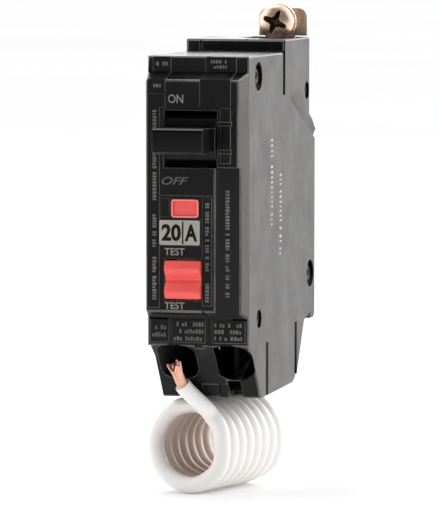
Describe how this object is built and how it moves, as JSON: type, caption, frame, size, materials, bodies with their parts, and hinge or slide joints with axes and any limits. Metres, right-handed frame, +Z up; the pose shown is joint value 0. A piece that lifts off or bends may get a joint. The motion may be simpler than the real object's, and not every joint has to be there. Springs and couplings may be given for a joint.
{
  "type": "gfci circuit breaker",
  "caption": "One-pole bolt-on ground-fault circuit breaker with a black moulded case, toggle handle, red test rocker, trip flag and a coiled white neutral lead.",
  "frame": {"origin": "middle of the rear face of the bolt-on tab's shank, 85 mm above the case's flat bottom", "axes": "+Y out of the rear face into the bus, +Z up along the case's height, +X across its width to the right seen from the front"},
  "size_m": [0.0319, 0.0824, 0.1197],
  "materials": {
    "moulded_black": "moulded phenolic, satin",
    "handle_black": "moulded thermoset, satin",
    "fibre_board": "pressed insulating sheet",
    "tinned_copper": "tin plated copper, satin",
    "yellow_zinc": "yellow passivated zinc plate",
    "bright_steel": "plated steel",
    "copper": "bare copper",
    "contact_silver": "silver alloy, dull",
    "bimetal": "rolled bimetal strip",
    "brass": "stamped brass",
    "red_plastic": "moulded, slight sheen",
    "flag_red": "moulded, matt",
    "clear_lens": "clear moulded window",
    "label_grey": "printed pad",
    "board_green": "solder mask",
    "ferrite": "coated core",
    "varistor_blue": "dipped epoxy",
    "chip_black": "moulded epoxy",
    "film_amber": "taped winding and dipped film",
    "resistor_tan": "coated ceramic",
    "white_insulation": "vinyl insulation"
  },
  "bodies": {
    "case": {"arc_plate_1": "bright_steel", "arc_plate_2": "bright_steel", "arc_plate_3": "bright_steel", "arc_plate_4": "bright_steel", "arm_pin": "bright_steel", "bimetal": "bimetal", "bimetal_bracket": "brass", "case_barrier": "fibre_board", "case_base": "moulded_black", "case_cover": "moulded_black", "circuit_board": "board_green", "control_chip": "chip_black", "filter_capacitor": "film_amber", "fixed_contact": "contact_silver", "flag_lens": "clear_lens", "flexible_braid": "copper", "line_strap": "tinned_copper", "load_terminal": "brass", "load_wire": "copper", "magnet_yoke": "bright_steel", "main_spring": "bright_steel", "neutral_terminal": "brass", "neutral_transformer": "film_amber", "neutral_wire": "white_insulation", "pigtail_coil": "white_insulation", "pigtail_conductor": "copper", "pigtail_front": "white_insulation", "pigtail_rear": "white_insulation", "plunger_spring": "bright_steel", "rating_label": "label_grey", "resistor_1": "resistor_tan", "resistor_2": "resistor_tan", "resistor_3": "resistor_tan", "rivet_lower_front": "bright_steel", "rivet_lower_rear": "bright_steel", "rivet_upper_front": "bright_steel", "rivet_upper_rear": "bright_steel", "sense_transformer": "ferrite", "solenoid_coil": "copper", "solenoid_frame": "bright_steel", "test_spring": "brass", "thyristor": "chip_black", "varistor": "varistor_blue"},
    "handle": {"handle": "handle_black"},
    "contact_arm": {"contact_arm": "copper", "moving_contact": "contact_silver"},
    "cradle": {"cradle": "bright_steel"},
    "armature": {"armature": "bright_steel"},
    "plunger": {"solenoid_plunger": "bright_steel"},
    "test_rocker": {"test_rocker": "red_plastic"},
    "trip_flag": {"trip_flag": "flag_red"},
    "line_washers": {"line_lock_washer": "bright_steel", "line_flat_washer": "yellow_zinc"},
    "line_screw": {"line_screw": "yellow_zinc"},
    "load_clamp": {"load_clamp": "brass"},
    "load_screw": {"load_screw": "yellow_zinc"},
    "neutral_clamp": {"neutral_clamp": "brass"},
    "neutral_screw": {"neutral_screw": "yellow_zinc"}
  },
  "joints": [
    {"name": "handle_swing", "type": "hinge", "parent": "case", "child": "handle", "pos_m": [-0.0067, -0.0563, -0.0212], "axis": [-1, 0, 0], "range_deg": [-24, 24]},
    {"name": "contact_swing", "type": "hinge", "parent": "case", "child": "contact_arm", "pos_m": [-0.0098, -0.0453, -0.025], "axis": [1, 0, 0], "range_deg": [-12.1, 12.1], "deforming": ["flexible_braid"]},
    {"name": "cradle_swing", "type": "hinge", "parent": "case", "child": "cradle", "pos_m": [-0.0163, -0.0433, -0.036], "axis": [1, 0, 0], "range_deg": [0, 10], "stiffness_Nm_per_rad": 0.01, "springref_deg": -8.59, "deforming": ["main_spring"]},
    {"name": "flag_slide", "type": "slide", "parent": "case", "child": "trip_flag", "axis": [0, 0, 1], "range_m": [0, 0.0051]},
    {"name": "armature_swing", "type": "hinge", "parent": "case", "child": "armature", "pos_m": [-0.0092, -0.0107, -0.0315], "axis": [1, 0, 0], "range_deg": [0, 3], "stiffness_Nm_per_rad": 0.01, "springref_deg": -4.58},
    {"name": "plunger_slide", "type": "slide", "parent": "case", "child": "plunger", "axis": [0, 1, 0], "range_m": [0, 0.0014], "stiffness_N_per_m": 120, "springref_m": -0.001, "deforming": ["plunger_spring"]},
    {"name": "test_press", "type": "hinge", "parent": "case", "child": "test_rocker", "pos_m": [-0.0083, -0.0629, -0.0551], "axis": [1, 0, 0], "range_deg": [-6, 6], "stiffness_Nm_per_rad": 0.02},
    {"name": "line_screw_travel", "type": "slide", "parent": "case", "child": "line_washers", "axis": [0, 1, 0], "range_m": [0, 0.0036]},
    {"name": "line_screw_turn", "type": "hinge", "parent": "line_washers", "child": "line_screw", "pos_m": [0, -0.0103, 0.0056], "axis": [0, 1, 0], "range_deg": [0, 1635.2]},
    {"name": "load_clamp_travel", "type": "slide", "parent": "case", "child": "load_clamp", "axis": [0, 0.8101, 0.5863], "range_m": [0, 0.0024]},
    {"name": "load_screw_turn", "type": "hinge", "parent": "load_clamp", "child": "load_screw", "pos_m": [-0.01255, -0.04321, -0.06719], "axis": [0, 0.8101, 0.5863], "range_deg": [0, 1091.2]},
    {"name": "neutral_clamp_travel", "type": "slide", "parent": "case", "child": "neutral_clamp", "axis": [0, 0.8101, 0.5863], "range_m": [0, 0.0024]},
    {"name": "neutral_screw_turn", "type": "hinge", "parent": "neutral_clamp", "child": "neutral_screw", "pos_m": [0.00125, -0.04321, -0.06719], "axis": [0, 0.8101, 0.5863], "range_deg": [0, 1091.2]}
  ],
  "couplings": [
    {"joint": "contact_swing", "follows": "handle_swing", "ratio": 0.5},
    {"joint": "flag_slide", "follows": "cradle_swing", "m_per_rad": 0.028648},
    {"joint": "line_screw_turn", "follows": "line_screw_travel", "rad_per_m": 7913.3},
    {"joint": "load_screw_turn", "follows": "load_clamp_travel", "rad_per_m": 7913.3},
    {"joint": "neutral_screw_turn", "follows": "neutral_clamp_travel", "rad_per_m": 7913.3}
  ]
}
